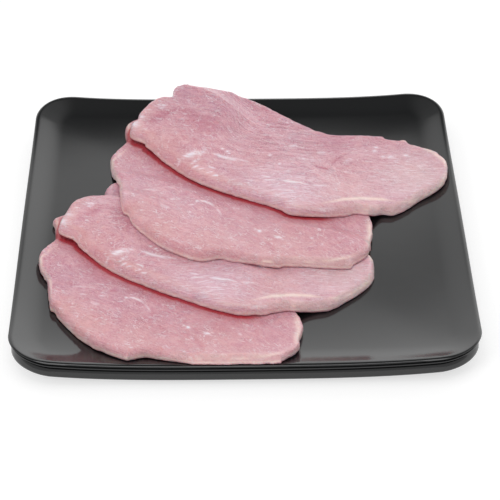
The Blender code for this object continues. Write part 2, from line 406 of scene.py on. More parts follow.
def wrapped_sleeve(name: str, rings: list[Array], first: Array, last: Array,
                   sharp_angle: float) -> bpy.types.Object:
    """Model a closed body from a drum that is cut into hoops and wrapped onto rings.

    Args:
        name: The piece's name.
        rings: The places of the hoops, all with the same number of points.
        first: The place of the lower cap's middle.
        last: The place of the upper cap's middle.
        sharp_angle: Edges that turn more than this stay crisp.

    Returns:
        The finished object, at the origin.
    """
    around, hoops = len(rings[0]), len(rings)
    bpy.ops.object.select_all(action="DESELECT")
    bpy.ops.mesh.primitive_cylinder_add(vertices=around, radius=1, depth=hoops - 1,
                                        end_fill_type="TRIFAN", location=(0, 0, (hoops - 1) / 2))
    piece = bpy.context.object
    piece.name = piece.data.name = name
    bpy.ops.object.transform_apply(location=True, rotation=True, scale=True)
    bpy.ops.object.mode_set(mode="EDIT")
    bpy.ops.mesh.select_mode(type="EDGE")
    bpy.ops.mesh.select_all(action="DESELECT")
    bpy.ops.object.mode_set(mode="OBJECT")
    # The edges that run up the drum's side are cut, so that a hoop lies at each whole height.
    ends = np.empty(len(piece.data.edges) * 2, int)
    piece.data.edges.foreach_get("vertices", ends)
    flat = np.empty(len(piece.data.vertices) * 3)
    piece.data.vertices.foreach_get("co", flat)
    heights = flat.reshape(-1, 3)[:, 2][ends.reshape(-1, 2)]
    upright = np.abs(heights[:, 0] - heights[:, 1]) > 0.5
    piece.data.edges.foreach_set("select", upright)
    bpy.ops.object.mode_set(mode="EDIT")
    bpy.ops.mesh.subdivide(number_cuts=hoops - 2)
    bpy.ops.object.mode_set(mode="OBJECT")
    # Each point goes to its place on its ring, by its hoop and its spoke.
    drum = np.empty(len(piece.data.vertices) * 3)
    piece.data.vertices.foreach_get("co", drum)
    drum = drum.reshape(-1, 3)
    hoop = np.rint(drum[:, 2]).astype(int)
    angle = np.arctan2(drum[:, 1], drum[:, 0])
    spoke = np.rint(angle / (2 * math.pi) * around).astype(int) % around
    middle = np.hypot(drum[:, 0], drum[:, 1]) < 0.5
    placed = np.array(rings)[hoop, spoke]
    placed[middle & (hoop == 0)] = first
    placed[middle & (hoop == hoops - 1)] = last
    piece.data.vertices.foreach_set("co", placed.ravel())
    piece.data.attributes.new("hoop", "INT", "POINT").data.foreach_set("value", hoop)
    piece.data.attributes.new("spoke", "INT", "POINT").data.foreach_set("value", spoke)
    bpy.ops.object.mode_set(mode="EDIT")
    bpy.ops.mesh.select_all(action="SELECT")
    bpy.ops.mesh.normals_make_consistent(inside=False)
    bpy.ops.object.mode_set(mode="OBJECT")
    bpy.ops.object.shade_smooth_by_angle(angle=sharp_angle)
    piece.data.update()
    return piece


@dataclass
class Ground:
    """The height of all that lies in the tray so far, on a square map.

    Attributes:
        half: Half of the map's side.
        cell: The map's step.
        passes: How often a slice's underside is smoothed, which sets how far it bridges a step.
        x: The x of the map's places, which is worked out from its size.
        y: Their y.
        height: The height at each of them.
    """

    half: float = 140 * MM
    cell: float = 1 * MM
    passes: int = 120
    x: Array = field(init=False)
    y: Array = field(init=False)
    height: Array = field(init=False)

    def __post_init__(self) -> None:
        """Lay out the map's places."""
        ticks = np.arange(-self.half, self.half + self.cell / 2, self.cell)
        self.x, self.y = np.meshgrid(ticks, ticks)
        self.height = np.zeros_like(self.x)

    def take_tray(self, tray: Tray) -> None:
        """Start from the bare tray, with its rim's height all round outside it."""
        inside = tray.inset(self.x, self.y) > 0
        self.height = np.where(inside, tray.top(self.x, self.y), tray.rim)

    def read(self, values: Array, x: Array, y: Array) -> Array:
        """Read a map between its ticks.

        Args:
            values: The map.
            x: The places' x in metres.
            y: Their y.

        Returns:
            The map's value at each place.
        """
        column, row = (x + self.half) / self.cell, (y + self.half) / self.cell
        left = np.clip(column.astype(int), 0, values.shape[1] - 2)
        low = np.clip(row.astype(int), 0, values.shape[0] - 2)
        right_share, high_share = column - left, row - low
        lower = values[low, left] * (1 - right_share) + values[low, left + 1] * right_share
        upper = values[low + 1, left] * (1 - right_share) + values[low + 1, left + 1] * right_share
        return lower * (1 - high_share) + upper * high_share

    def settled(self, gap: float) -> Array:
        """Settle a limp slice on the ground: it bridges steps and touches nothing.

        Args:
            gap: How far it stays above the ground.

        Returns:
            A map of its underside.
        """
        resting = self.height + gap
        height = resting
        for _ in range(self.passes):
            wide = np.pad(height, 1, mode="edge")
            rows = wide[:-2] + 2 * wide[1:-1] + wide[2:]
            height = np.maximum((rows[:, :-2] + 2 * rows[:, 1:-1] + rows[:, 2:]) / 16, resting)
        return height

    def pile(self, outline: Array, top: Array) -> None:
        """Raise the ground to a slice's top wherever its outline covers the map.

        Args:
            outline: The slice's outline in metres.
            top: A map of its top.
        """
        inside = np.zeros(self.x.shape, bool)
        for (ax, ay), (bx, by) in zip(outline, np.roll(outline, -1, axis=0)):
            if ay != by:
                crosses = (ay > self.y) != (by > self.y)
                inside ^= crosses & (self.x < ax + (self.y - ay) / (by - ay) * (bx - ax))
        self.height = np.where(inside, np.maximum(self.height, top), self.height)


@dataclass(frozen=True)
class Sight:
    """Places as the photo's eye sees them, on a level plane, and how a pair lies in them.

    The two pairs of slices look alike from the front. So what is drawn on them is stated
    once, for the back pair, and the front pair reads it through its own scale and shift.

    Attributes:
        plane: Height of the level plane, in millimetres.
        slope: How far a place moves back for each millimetre that it stands above the plane.
        scale: Size of the pair against the back pair, along X and along Y.
        skew: Share of Y that X takes.
        shift: Where the back pair's origin lands, in millimetres.
    """

    plane: float = 20.0
    slope: float = 1.3175
    scale: Point = (1.0, 1.0)
    skew: float = 0.0
    shift: Point = (0.0, 0.0)

    def seen(self, x: Array, y: Array, z: Array) -> tuple[Array, Array]:
        """Turn places in metres into the back pair's millimetres.

        Args:
            x: The places' x.
            y: Their y.
            z: Their height.

        Returns:
            How far across and how far along each place shows.
        """
        along = (y / MM + self.slope * (z / MM - self.plane) - self.shift[1]) / self.scale[1]
        across = (x / MM - self.shift[0] - self.skew * along) / self.scale[0]
        return across, along


BACK_PAIR = Sight()
FRONT_PAIR = Sight(scale=(0.934, 0.874), skew=-0.0275, shift=(-41.06, -89.14))


@dataclass(frozen=True)
class Marks:
    """What shows on a slice's face, in the millimetres of the back pair.

    Attributes:
        film_and_glint: Thin white skin, which also stands in for small wet glints: painted highlight.
        film_and_glint_spots: Dots of the same: white lumps, and painted glints.
        blush: Deeper pink hollows and seams.
        blush_spots: Patches of the same.
        fat_and_highlight: Cream strokes of fatty rind, kept bright on edges in shade: partly painted
            highlight.
        fat_spots: Cream patches.
        peach: Warmer patches.
        mauve: Cooler, greyer patches; on the wide slices the first is painted shade on the turned-up
            back corner.
        creases: Seams cut into the surface, with their depth as strength in millimetres.
        juice_and_shade_spots: Where dark red juices gather, and painted shade in the gap under a lifted
            edge.
        painted_sheen: Where a lilac sheen is painted over the flesh.
        rim_fat_and_highlight: How strong the cream line along the edge is away from the strokes; the
            line is fatty rind and partly painted highlight.
        fibre_turn: How far the fibres run down to the right, as a slope.
        fibre_fold: How far the fibres step down where the top of the slice folds over.
        fibre_zone: Where the fibres stand out most.
    """

    film_and_glint: tuple[Stroke, ...] = ()
    film_and_glint_spots: tuple[Bump, ...] = ()
    blush: tuple[Stroke, ...] = ()
    blush_spots: tuple[Bump, ...] = ()
    fat_and_highlight: tuple[Stroke, ...] = ()
    fat_spots: tuple[Bump, ...] = ()
    peach: tuple[Bump, ...] = ()
    mauve: tuple[Bump, ...] = ()
    creases: tuple[Stroke, ...] = ()
    juice_and_shade_spots: tuple[Bump, ...] = ()
    painted_sheen: tuple[Bump, ...] = ()
    rim_fat_and_highlight: float = 0.9
    fibre_turn: float = 0.25
    fibre_fold: float = 0.0
    fibre_zone: tuple[Bump, ...] = ()

    @staticmethod
    def drawn(shapes: tuple[Stroke | Bump, ...], x: Array, y: Array) -> Array:
        """Draw some strokes and bumps.

        Args:
            shapes: What is drawn.
            x: How far across, in millimetres.
            y: How far along, in millimetres.

        Returns:
            The strength of the strongest of them at each place.
        """
        best = np.zeros_like(x)
        for shape in shapes:
            best = np.maximum(best, shape.at(x, y))
        return best


# Seams that show darker and are also cut in.
CORNER_FOLD = ((-58.1, 94.4), (-53.1, 97.0), (-47.3, 103.5), (-42.6, 107.1))
LEFT_SEAM = ((43.2, 48.8), (47.1, 45.2), (54.1, 42.5), (56.3, 41.4))
RIGHT_SEAM = ((53.7, 44.6), (58.7, 52.1), (64.6, 58.2))
LOW_FOLD = ((12.1, -27.3), (15.4, -34.0), (17.5, -40.5))

WIDE_MARKS = Marks(
    # The skin strokes and dots below are white skin and also painted glints.
    film_and_glint=(
        Stroke(((-36.0, 54.9), (-33.0, 58.6), (-28.2, 61.5), (-21.4, 62.2)), 4.6, 0.9),
        Stroke(((-23.4, 62.2), (-15.2, 58.7), (-9.0, 55.5), (-1.0, 52.8), (5.1, 51.0)), 2.6, 0.7),
        Stroke(((-31.4, 48.8), (-28.5, 52.5), (-25.9, 54.9)), 1.5, 1.0),
        Stroke(((-30.5, 44.4), (-25.9, 48.8)), 1.5, 0.9),
        Stroke(((-22.3, 40.0), (-17.2, 41.2)), 1.7, 1.0),
        Stroke(((-18.2, 36.9), (-13.7, 37.6)), 1.6, 0.9),
        Stroke(((-20.7, 47.1), (-15.8, 44.2)), 1.5, 0.8),
        Stroke(((-37.5, 56.0), (-38.5, 50.0), (-39.5, 46.0)), 1.2, 0.6),
        Stroke(((-27.0, 43.5), (-22.0, 45.5)), 1.3, 0.8),
        Stroke(((11.2, 37.3), (18.2, 34.3)), 1.5, 0.7),
        Stroke(((12.9, 32.3), (21.6, 31.8)), 1.6, 0.7),
        Stroke(((23.3, 31.8), (31.0, 29.8), (40.0, 27.1)), 1.9, 1.0),
        Stroke(((41.6, 26.6), (51.5, 25.4)), 1.3, 0.7),
        Stroke(((20.2, 22.5), (31.1, 20.8)), 1.5, 0.6),
        Stroke(((22.3, 15.6), (29.1, 13.5)), 1.4, 0.4),
        Stroke(((-54.4, 113.1), (-45.9, 114.1)), 2.4, 0.8),
        Stroke(((-61.1, 108.0), (-56.0, 109.1)), 1.8, 0.5),
        Stroke(((-52.2, 109.7), (-47.1, 111.3)), 2.0, 0.5),
        Stroke(((46.8, 60.7), (53.6, 61.1)), 2.4, 0.5),
        Stroke(((63.6, 51.4), (68.5, 53.4)), 3.0, 0.5),
        Stroke(((29.0, 67.9), (35.3, 68.9)), 2.0, 0.5),
        Stroke(((41.0, 3.2), (50.0, 2.0), (61.0, 2.4)), 1.4, 0.5),
    ),
    film_and_glint_spots=(
        Bump(-11.5, 65.4, 0.6), Bump(-8.5, 62.6, 0.7), Bump(-7.4, 60.4, 0.5), Bump(17.6, 58.5, 0.7),
        Bump(23.4, 49.0, 0.7), Bump(84.5, 65.8, 0.9), Bump(83.2, 62.2, 0.8), Bump(87.9, 56.0, 0.8),
        Bump(92.9, 54.9, 1.1), Bump(95.2, 51.8, 0.7), Bump(102.2, 56.6, 1.1),
        Bump(-66.4, 93.5, 2.2, 0.8), Bump(-62.5, 101.0, 2.0, 0.6),
    ),
    blush=(
        Stroke(CORNER_FOLD, 8.0, 0.75),
        Stroke(((-42.6, 107.1), (-33.0, 106.0), (-24.0, 95.7), (-16.1, 88.3), (-8.8, 83.7)), 8.0, 0.5),
        Stroke(LEFT_SEAM, 1.8, 0.8),
        Stroke(RIGHT_SEAM, 1.6, 0.6),
    ),
    blush_spots=(
        Bump(11.6, 102.3, 1.2, 0.7), Bump(-20, 92, 7, 0.45), Bump(60, 78, 9, 0.35),
        Bump(98, 45, 12, 0.3), Bump(12, 60, 9, 0.25), Bump(-40, 60, 8, 0.25), Bump(86, 74, 8, 0.3),
    ),
    fat_and_highlight=(
        Stroke(((97.5, 75.5), (114.2, 65.2), (124.4, 51.4), (126.4, 40.0)), 2.8, 0.85),
        Stroke(((126.4, 40.0), (120.4, 23.6), (108.6, 11.2), (100.7, 8.4), (92.9, 8.5)), 4.4, 1.0),
        Stroke(((48.0, 8.0), (60.8, 11.8), (72.2, 12.6), (84.1, 11.4), (92.9, 8.9)), 3.0, 1.0),
        Stroke(((16.4, 9.6), (34.1, 4.5), (48.9, 1.8), (60.8, 1.7)), 2.6, 0.4),
    ),
    fat_spots=(Bump(73.6, 1.5, 1.8, 0.8), Bump(106, 36, 15, 0.3)),
    peach=(Bump(-52, 70, 11, 0.8), Bump(-38, 52, 10, 0.6), Bump(60, 22, 16, 0.5), Bump(10, 52, 9, 0.4)),
    # The first mauve patch darkens the turned-up lip at the back corner: painted shade.
    mauve=(Bump(-36, 128, 8, 0.8), Bump(-5, 116, 16, 0.5), Bump(30, 88, 20, 0.35),
           Bump(58, 74, 12, 0.5)),
    creases=(
        Stroke(LEFT_SEAM, 2.6, 0.7),
        Stroke(RIGHT_SEAM, 2.4, 0.5),
        Stroke(CORNER_FOLD, 9.0, 0.9),
        Stroke(((3.7, 99.2), (9.0, 95.3), (19.4, 95.2), (29.8, 91.3)), 2.2, 0.35),
        Stroke(((5.1, 91.6), (10.4, 87.9), (22.4, 88.7), (32.7, 85.8), (39.9, 82.9)), 2.2, 0.35),
        Stroke(((16.1, 75.7), (25.1, 73.1), (39.4, 70.2), (49.7, 70.0)), 2.2, 0.3),
        Stroke(((-39.0, 124.0), (-32.0, 122.0), (-26.0, 123.0)), 5.0, 0.5),
    ),
    fibre_turn=0.28,
    fibre_fold=16.0,
    # Lilac patches below paint a sheen on the flesh.
    painted_sheen=(Bump(25, 24, 20), Bump(104, 34, 20)),
    fibre_zone=(Bump(10, 92, 24), Bump(38, 74, 20), Bump(-25, 108, 18), Bump(35, 30, 18, 0.6)),
)

TAPERED_MARKS = Marks(
    film_and_glint=(
        Stroke(((-43.6, 13.7), (-39.6, 13.5)), 1.4, 0.7),
        Stroke(((-32.5, 7.8), (-28.6, 7.7)), 1.3, 0.6),
        Stroke(((-48.4, 8.0), (-43.4, 4.6)), 3.0, 0.5),
        Stroke(((-28.1, 8.5), (-27.2, 11.7), (-22.7, 11.2), (-18.8, 8.6), (-15.8, 5.1)), 1.7, 0.8),
        Stroke(((-15.8, 4.6), (-12.3, -3.8)), 1.5, 0.5),
        Stroke(((18.3, -24.8), (24.9, -24.6)), 2.2, 0.9),
        Stroke(((-60.0, 24.0), (-50.0, 22.5)), 1.4, 0.4),
        Stroke(((-46.0, 27.0), (-40.0, 24.5)), 1.2, 0.35),
        Stroke(((-56.0, 16.0), (-50.0, 15.0)), 1.3, 0.4),
    ),
    film_and_glint_spots=(Bump(9.7, -18.5, 0.9), Bump(7.0, -17.0, 0.6, 0.7), Bump(40.0, -26.0, 0.6, 0.7)),
    blush=(
        Stroke(LOW_FOLD, 5.0, 0.5),
        Stroke(((34.3, -38.9), (40.9, -34.3), (48.1, -28.7)), 6.0, 0.4),
        Stroke(((-58.0, 48.0), (-48.0, 36.0), (-30.0, 22.0)), 9.0, 0.3),
    ),
    blush_spots=(
        Bump(15.0, -24.0, 1.2, 0.7), Bump(-34.2, 18.7, 1.6, 0.6), Bump(-45.1, 42.7, 1.4, 0.5),
        Bump(19.5, -50.5, 1.5, 0.9), Bump(23.5, -50.6, 1.3, 0.9), Bump(-10, -8, 10, 0.3),
        Bump(58, -22, 12, 0.4), Bump(10, -25, 45, 0.2), Bump(36, -12, 14, 0.35),
    ),
    fat_and_highlight=(
        Stroke(((-71.3, 99.0), (-70.9, 88.9), (-69.9, 77.9)), 2.6, 0.9),
        Stroke(((-69.3, 69.4), (-80.1, 54.2), (-79.8, 45.7), (-75.5, 34.4), (-73.3, 28.4),
                (-71.9, 11.8)), 2.2, 0.9),
        Stroke(((9.0, -48.2), (13.0, -47.4), (17.6, -48.6)), 2.4, 1.0),
        Stroke(((30.0, -49.6), (49.5, -47.2), (67.4, -42.1)), 3.2, 0.8),
        Stroke(((74.8, -6.0), (75.0, -23.3), (71.9, -38.0)), 3.4, 0.8),
    ),
    peach=(Bump(-64, 2, 9, 0.9), Bump(-50, -16, 12, 0.9), Bump(-20, -32, 16, 0.7),
           Bump(20, -34, 26, 0.6)),
    mauve=(Bump(-62, 34, 14, 0.5), Bump(-30, 16, 12, 0.4), Bump(10, -8, 14, 0.3)),
    creases=(
        Stroke(LOW_FOLD, 4.0, 0.5),
        Stroke(((-28.1, 8.5), (-27.2, 11.7), (-22.7, 11.2), (-18.8, 8.6)), 1.6, -0.15),
    ),
    # Dark red in the gap under the upper slice's lifted tip: painted shade, coloured as juices.
    juice_and_shade_spots=(Bump(-65.0, 77.5, 3.6, 1.0), Bump(-61.0, 73.0, 3.6, 1.0)),
    rim_fat_and_highlight=1.0,
    fibre_turn=0.75,
    fibre_zone=(Bump(-45, 5, 16, 0.6), Bump(-5, -12, 18, 0.6), Bump(45, -30, 16, 0.5)),
)


class Layer(Enum):
    """What is painted on a slice's points, for its finish to read."""

    FILM_AND_GLINT = "film_and_glint"
    FAT_AND_HIGHLIGHT = "fat_and_highlight"
    BLUSH = "blush"
    JUICE_AND_SHADE = "juice_and_shade"
    PEACH = "peach"
    MAUVE = "mauve"
    PAINTED_SHEEN = "painted_sheen"
    FIBRE = "fibre"


@dataclass
class MeatSlice:
    """One slice of raw meat, draped over what lies under it.

    Attributes:
        name: The piece's name.
        node: The CAD node that it stands for.
        controls: Points that the outline passes through, in millimetres.
        sight: How the slice lies in the millimetres of its marks.
        marks: What shows on its face.
        swells: Bumps in its thickness, in millimetres.
        stand_offs: Bumps that hold it clear of what is under it.
        edges: Where its edge is of another kind than round.
        thickness: The thickness away from bumps.
        gap: The wet gap under it.
        ragged_inset: How far the ragged edge is set in on the whole, in millimetres.
        seam_fade: How far from the outline's first point it gets fully ragged.
        film_height: How far white skin stands up, in millimetres.
        under_power: How square the curve under the edge is.
        round_weight: How much a round edge counts against another kind at its strongest.
        turn_reach: Over how many points each way the outline's direction is taken.
        even_share: Share of the way to the middle over which the rings are evened out.
        crisp_angle: Edges that turn more than this stay crisp.
        curve_steps: Number of steps of the outline's curve between two of its points.
        around: Number of points round it.
        rows: Number of rings across its face.
        under_rows: Number of rings across its underside.
        edge_rows: Number of rings on each of the edge's two curves.
    """

    name: str
    node: str
    controls: tuple[Point, ...]
    sight: Sight
    marks: Marks
    swells: tuple[Bump, ...] = ()
    stand_offs: tuple[Bump, ...] = ()
    edges: tuple[tuple[Edge, Bump], ...] = ()
    thickness: float = 6.0 * MM
    gap: float = 0.15 * MM
    ragged_inset: float = 0.35
    seam_fade: float = 8.0
    film_height: float = 0.12
    under_power: float = 2.2
    round_weight: float = 0.15
    turn_reach: int = 7
    even_share: float = 0.04
    crisp_angle: float = math.radians(70)
    curve_steps: int = 16
    around: int = 640
    rows: int = 100
    under_rows: int = 12
    edge_rows: int = 9

    def outline(self) -> Array:
        """Work out the outline: a smooth closed curve with a slightly ragged edge.

        Returns:
            The outline's places in metres.
        """
        controls = np.array(self.controls, float) * MM
        before, after = np.roll(controls, 1, axis=0), np.roll(controls, -1, axis=0)
        beyond = np.roll(controls, -2, axis=0)
        pieces = []
        for t in np.arange(self.curve_steps) / self.curve_steps:
            pieces.append(0.5 * (2 * controls + (after - before) * t
                                 + (2 * before - 5 * controls + 4 * after - beyond) * t**2
                                 + (3 * controls - before - 3 * after + beyond) * t**3))
        curve = np.stack(pieces, axis=1).reshape(-1, 2)
        curve = np.vstack((curve, curve[:1]))
        travelled = np.concatenate(([0], np.cumsum(np.hypot(*np.diff(curve, axis=0).T))))
        stops = np.arange(self.around) / self.around * travelled[-1]
        smooth = np.column_stack([np.interp(stops, travelled, curve[:, k]) for k in (0, 1)])
        ragged = heaped(RAGGED, stops / MM, np.full(self.around, 0.5)) - self.ragged_inset
        from_seam = np.minimum(stops, travelled[-1] - stops) / MM
        ragged = ragged * np.minimum(1, from_seam / self.seam_fade)
        return smooth - self.inward(smooth) * (ragged * MM)[:, None]

    def inward(self, outline: Array) -> Array:
        """Work out which way is inwards along the outline.

        Args:
            outline: The outline's places in metres.

        Returns:
            A unit vector for each place, smoothed along the outline.
        """
        reach = self.turn_reach
        along = np.roll(outline, -reach, axis=0) - np.roll(outline, reach, axis=0)
        across = np.column_stack((-along[:, 1], along[:, 0]))
        following = np.roll(outline, -1, axis=0)
        turn = np.sum(outline[:, 0] * following[:, 1] - following[:, 0] * outline[:, 1])
        return across * np.sign(turn) / np.linalg.norm(across, axis=1)[:, None]

    def closing_rings(self, shoulder: Array, centre: Array, rows: int) -> list[Array]:
        """Shrink rings from a shoulder to the middle, evened out so that none folds.

        Args:
            shoulder: The ring that they start from.
            centre: The place that they shrink to.
            rows: How many steps the way takes.

        Returns:
            The rings between the shoulder and the middle.
        """
        shifts = range(-self.turn_reach, self.turn_reach + 1)
        even = sum(np.roll(shoulder, shift, axis=0) for shift in shifts) / len(shifts)
        rings = []
        for share in np.linspace(1, 0, rows + 1)[1:-1]:
            start = shoulder + (even - shoulder) * min(1, (1 - share) / self.even_share)
            rings.append(centre + (start - centre) * share)
        return rings

    def edge_shares(self, x: Array, y: Array) -> dict[Edge, Array]:
        """Work out of which kinds the edge near some places is.

        Args:
            x: The places' x in metres.
            y: Their y.

        Returns:
            The share of each kind, one in all.
        """
        weights = {kind: np.zeros_like(x) for kind in Edge}
        weights[Edge.ROUND] += self.round_weight
        for kind, where in self.edges:
            weights[kind] += where.at(x / MM, y / MM)
        total = sum(weights.values())
        return {kind: weight / total for kind, weight in weights.items()}

    def edge_form(self, outline: Array) -> Array:
        """Mix the kinds of edge along the outline.

        Args:
            outline: The outline's places in metres.

        Returns:
            One row for each place, laid out as the values of Edge.
        """
        shares = self.edge_shares(*outline.T)
        return sum(share[:, None] * np.array(kind.value) for kind, share in shares.items())

    def fibres(self, x: Array, y: Array) -> tuple[Array, Array]:
        """Follow the flesh's fibres, which bend and step down where the top folds over.

        Args:
            x: How far across, in the marks' millimetres.
            y: How far along, in the marks' millimetres.

        Returns:
            How far each place lies along the fibres and across them, in millimetres.
        """
        turn = self.marks.fibre_turn
        bend = heaped(BENDS, x, y)
        # The fold runs along x = -5, is 9 mm wide each way and fades in from y = 50 to 96.
        fold = self.marks.fibre_fold * np.tanh((x + 5) / 9) * smooth_step(50, 96, y)
        across = (y + turn * x + fold) / math.hypot(1, turn) + bend
        along = (x - turn * y) / math.hypot(1, turn) + 0.5 * bend
        return along, across

    def relief(self, x: Array, y: Array) -> Array:
        """Work out how far the face stands up.

        Args:
            x: How far across, in the marks' millimetres.
            y: How far along, in the marks' millimetres.

        Returns:
            The height over the smooth face, in metres.
        """
        zone = 0.2 + 0.8 * Marks.drawn(self.marks.fibre_zone, x, y)
        strands = heaped(STRANDS, *self.fibres(x, y)) * zone
        skin = self.film_height * Marks.drawn(self.marks.film_and_glint, x, y)
        seams = Marks.drawn(self.marks.creases, x, y)
        return (heaped(LUMPS, x, y) + strands + skin - seams) * MM

    def shell(self, outline: Array, form: Array) -> list[tuple[Array, float, int]]:
        """Lay out the rings from under the middle, round the edge, to over the middle.

        Args:
            outline: The outline's places in metres.
            form: The edge's form at each of them.

        Returns:
            For each ring its places, how far it is up the edge's curve, from nought on the
            outline to one, and its side: minus one below the outline and one above it.
        """
        inward = self.inward(outline)
        centre = outline.mean(axis=0)
        under_power = np.full(self.around, self.under_power)
        halves = []
        for side, reach, power, rows in ((-1, form[:, 3], under_power, self.under_rows),
                                         (1, form[:, 1], form[:, 2], self.rows)):
            half = []
            for rise in np.sin(np.linspace(0, math.pi / 2, self.edge_rows)):
                inset = reach * (1 - (1 - rise**power) ** (1 / power))
                half.append((outline + inward * (inset * MM)[:, None], rise, side))
            closing = self.closing_rings(half[-1][0], centre, rows)
            halves.append(half + [(ring, 1.0, side) for ring in closing])
        under, over = halves
        return under[:0:-1] + over

    def build(self, ground: Ground, above: "MeatSlice | None") -> bpy.types.Object:
        """Model the slice on the ground and pile it up there.

        Args:
            ground: What the slice lies on, which is raised by it.
            above: The slice that will be laid on this one.

        Returns:
            The slice's object, with its marks as attributes.
        """
        map_x, map_y = ground.x / MM, ground.y / MM
        underside = ground.settled(self.gap)
        for stand_off in self.stand_offs:
            underside = underside + stand_off.at(map_x, map_y) * MM
        thick = np.full_like(ground.x, self.thickness)
        for swell in self.swells:
            thick = thick + swell.at(map_x, map_y) * MM
        outline = self.outline()
        form = self.edge_form(outline)
        rings, depth, cover = [], [], []
        for flat, rise, side in self.shell(outline, form):
            x, y = flat.T
            base, full = ground.read(underside, x, y), ground.read(thick, x, y)
            middle = form[:, 0]
            share = middle + (1 - middle) * rise if side > 0 else middle * (1 - rise)
            z = base + full * share
            if side > 0:
                z = z + self.relief(*self.sight.seen(x, y, z)) * rise**2
            rings.append(np.column_stack((x, y, z)))
            depth.append(np.hypot(*(flat - outline).T) / MM)
            cover.append(np.full(self.around, side * rise))
        first, last = rings[0].mean(axis=0), rings[-1].mean(axis=0)
        piece = wrapped_sleeve(self.name, rings, first, last, self.crisp_angle)
        self.paint(piece, np.array(depth), np.array(cover), above)
        top = underside + thick
        ground.pile(outline, top + self.relief(*self.sight.seen(ground.x, ground.y, top)))
        return piece

    def dress(self, piece: bpy.types.Object, flesh: bpy.types.Material) -> None:
        """Give the slice its flesh and its place in the frame."""
        set_in_frame(piece, self.node, flesh)

    def juice_and_shade_under(self, x: Array, y: Array) -> Array:
        """Work out how much red juices and painted shade gather on what lies under the slice's rolled
        edge.

        They stand in a narrow pool along the edge and stain the flesh up to 10 mm away: the crevice's
        shade, painted dark red.

        Args:
            x: The places' x in metres.
            y: Their y.

        Returns:
            The share of the red juices and painted shade at each place.
        """
        away = np.ones_like(x)
        for edge_x, edge_y in self.outline():
            away = np.minimum(away, np.hypot(x - edge_x, y - edge_y))
        pool_and_shade = smooth_step(3.4, 0.8, away / MM) + 0.34 * smooth_step(10, 2, away / MM)
        return np.minimum(pool_and_shade, 1) * smooth_step(0.35, 0.8, self.edge_shares(x, y)[Edge.ROLLED])

    def paint(self, piece: bpy.types.Object, depth: Array, cover: Array,
              above: "MeatSlice | None") -> None:
        """Store the marks on the slice's points as attributes that the finish reads.

        Args:
            piece: The slice.
            depth: Distance inside the outline for each ring and point, in millimetres.
            cover: From minus one on the underside to one on the face, the same way.
            above: The slice that lies on this one.
        """
        mesh = piece.data
        count = len(mesh.vertices)
        places = np.empty(count * 3)
        mesh.vertices.foreach_get("co", places)
        x, y, z = places.reshape(-1, 3).T
        hoop, spoke = np.empty(count, int), np.empty(count, int)
        mesh.attributes["hoop"].data.foreach_get("value", hoop)
        mesh.attributes["spoke"].data.foreach_get("value", spoke)
        inside, face = depth[hoop, spoke], cover[hoop, spoke]
        seen_x, seen_y = self.sight.seen(x, y, z)
        marks = self.marks
        upper = smooth_step(-0.2, 0.3, face)
        shares = self.edge_shares(x, y)
        rolled, slanted = shares[Edge.ROLLED], shares[Edge.SLANTED]
        # The cream line of fatty rind runs along the foot of the edge, and covers a slanted cut. It is
        # also painted highlight, which keeps the shaded foot and the slanted cut bright.
        line = np.exp(-((face - 0.22) / 0.16) ** 2) * marks.rim_fat_and_highlight
        line = np.maximum(line, 0.5 * slanted * smooth_step(5.0, 2.5, inside) * upper)
        patchy = 0.8 + heaped(PATCHY, seen_x, seen_y)
        drawn = {
            Layer.FILM_AND_GLINT: Marks.drawn(marks.film_and_glint + marks.film_and_glint_spots, seen_x, seen_y) * upper,
            Layer.FAT_AND_HIGHLIGHT: Marks.drawn(marks.fat_and_highlight + marks.fat_spots, seen_x, seen_y) * upper,
            Layer.BLUSH: Marks.drawn(marks.blush + marks.blush_spots, seen_x, seen_y) * upper,
            Layer.JUICE_AND_SHADE: Marks.drawn(marks.juice_and_shade_spots, seen_x, seen_y),
            Layer.PEACH: Marks.drawn(marks.peach, seen_x, seen_y),
            Layer.MAUVE: Marks.drawn(marks.mauve, seen_x, seen_y),
            Layer.PAINTED_SHEEN: Marks.drawn(marks.painted_sheen, seen_x, seen_y),
            Layer.FIBRE: Marks.drawn(marks.fibre_zone, seen_x, seen_y),
        }
        # The cream line joins the strokes: fatty rind with painted highlight.
        drawn[Layer.FAT_AND_HIGHLIGHT] = np.maximum(drawn[Layer.FAT_AND_HIGHLIGHT], line * patchy)
        # Dark red covers the underside of a rolled edge and what such an edge lies on: juices, and
        # painted shade in the crevice.
        juice_and_shade_underside = smooth_step(0.02, -0.2, face) * smooth_step(0.3, 0.8, rolled)
        drawn[Layer.JUICE_AND_SHADE] = np.maximum(drawn[Layer.JUICE_AND_SHADE], juice_and_shade_underside)
        if above is not None:
            drawn[Layer.JUICE_AND_SHADE] = np.maximum(drawn[Layer.JUICE_AND_SHADE], above.juice_and_shade_under(x, y) * upper)
        # A warm band runs just inside a rolled edge.
        band = rolled * smooth_step(1.0, 3.0, inside) * smooth_step(11.0, 6.0, inside)
        drawn[Layer.PEACH] = np.maximum(drawn[Layer.PEACH], 0.8 * band)
        for layer, values in drawn.items():
            mesh.attributes.new(layer.value, "FLOAT", "POINT").data.foreach_set("value", values)
        along, across = self.fibres(seen_x, seen_y)
        grain = np.column_stack((along, across, np.zeros(count))) * MM
        mesh.attributes.new("grain", "FLOAT_VECTOR", "POINT").data.foreach_set("vector", grain.ravel())


def bare_finish(name: str) -> bpy.types.Material:
    """Make a material with an empty node tree.

    Args:
        name: The material's name.

    Returns:
        The material.
    """
    finish = bpy.data.materials.new(name)
    finish.use_nodes = True
    finish.node_tree.nodes.clear()
    return finish


